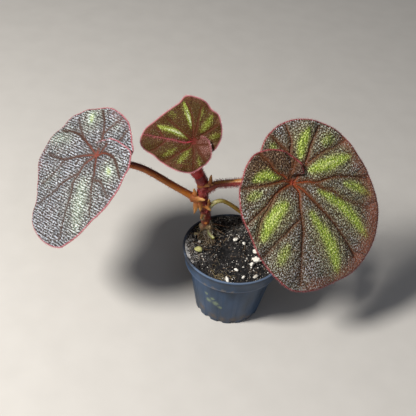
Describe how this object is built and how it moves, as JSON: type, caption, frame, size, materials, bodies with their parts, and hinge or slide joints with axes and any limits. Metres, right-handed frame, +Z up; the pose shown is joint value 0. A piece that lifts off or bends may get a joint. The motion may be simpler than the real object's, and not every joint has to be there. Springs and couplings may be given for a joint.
{
  "type": "potted begonia",
  "caption": "Small begonia with blistered, lime-striped dark leaves on red stalks, standing upright in a dark round plastic nursery pot filled with soil.",
  "frame": {"origin": "centre of the round pad under the pot, on the surface that the pot stands on", "axes": "+Z up along the pot's axis, +X along the plant's widest spread, towards the larger mature leaf; the faces of the leaves look towards -Y"},
  "size_m": [0.1982, 0.074, 0.1351],
  "materials": {
    "pot_plastic": "matt moulded polypropylene, dusty near the foot",
    "potting_soil": "damp peat crumbs",
    "stem": "satin, hairy",
    "green_stalk": "satin",
    "amber_stalk": "satin, finely hairy",
    "red_stalk": "satin, densely hairy",
    "mature_leaf": "blistered, with a silvery sheen of hairs and lime stripes",
    "young_leaf": "quilted, reddish, with lime stripes",
    "perlite": "chalky",
    "mossy_stone": "porous, stained yellow-green",
    "bark": "rough"
  },
  "bodies": {
    "root": {"pot": "pot_plastic", "soil": "potting_soil", "stem": "stem", "old_petiole": "green_stalk", "petiole_left": "amber_stalk", "petiole_right": "red_stalk", "petiole_young": "red_stalk", "petiole_lower": "amber_stalk", "leaf_left": "mature_leaf", "leaf_right": "mature_leaf", "leaf_lower": "mature_leaf", "leaf_young": "young_leaf", "perlite_01": "perlite", "perlite_02": "perlite", "perlite_03": "perlite", "perlite_04": "perlite", "perlite_05": "perlite", "perlite_06": "perlite", "perlite_07": "perlite", "perlite_08": "perlite", "perlite_09": "perlite", "perlite_10": "perlite", "rock_chunk": "mossy_stone", "bark_chip": "bark"}
  },
  "joints": []
}
